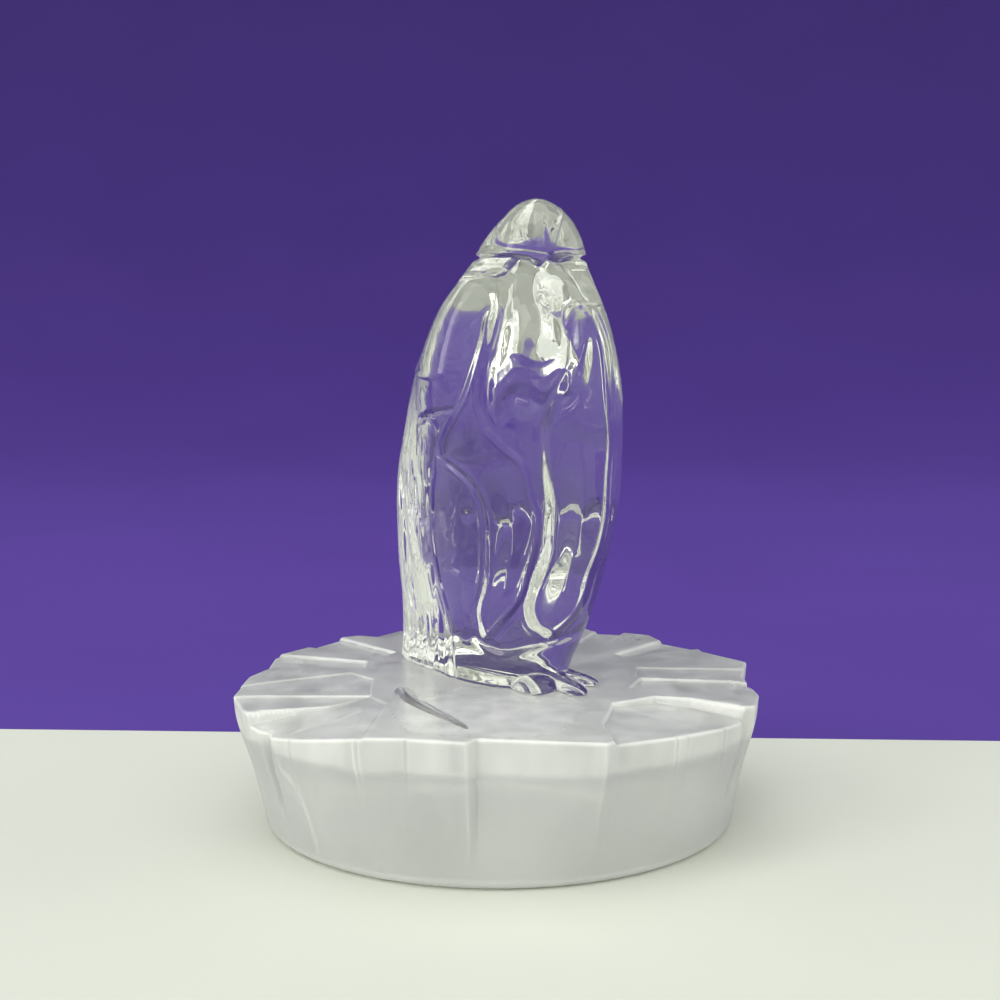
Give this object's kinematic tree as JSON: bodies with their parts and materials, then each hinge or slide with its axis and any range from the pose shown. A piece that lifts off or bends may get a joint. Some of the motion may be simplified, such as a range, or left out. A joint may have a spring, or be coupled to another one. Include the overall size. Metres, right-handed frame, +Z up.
{
  "type": "penguin figurine",
  "caption": "Clear glass penguin with folded flippers standing on a thick round satin glass ice floe that is hollow underneath; a free-standing ornament.",
  "frame": {"origin": "on the surface it stands on, under the middle of the base", "axes": "+Z up, the figure looks towards -Y and about 20 degrees to +X, +X to the viewer's right"},
  "size_m": [0.112, 0.11, 0.1334],
  "materials": {
    "satin_glass": "acid-etched satin",
    "clear_glass": "fire-polished clear",
    "clear_adhesive": "cured film, slightly milky"
  },
  "bodies": {
    "root": {"ice_floe_base": "satin_glass", "penguin": "clear_glass", "adhesive_film": "clear_adhesive"}
  },
  "joints": []
}
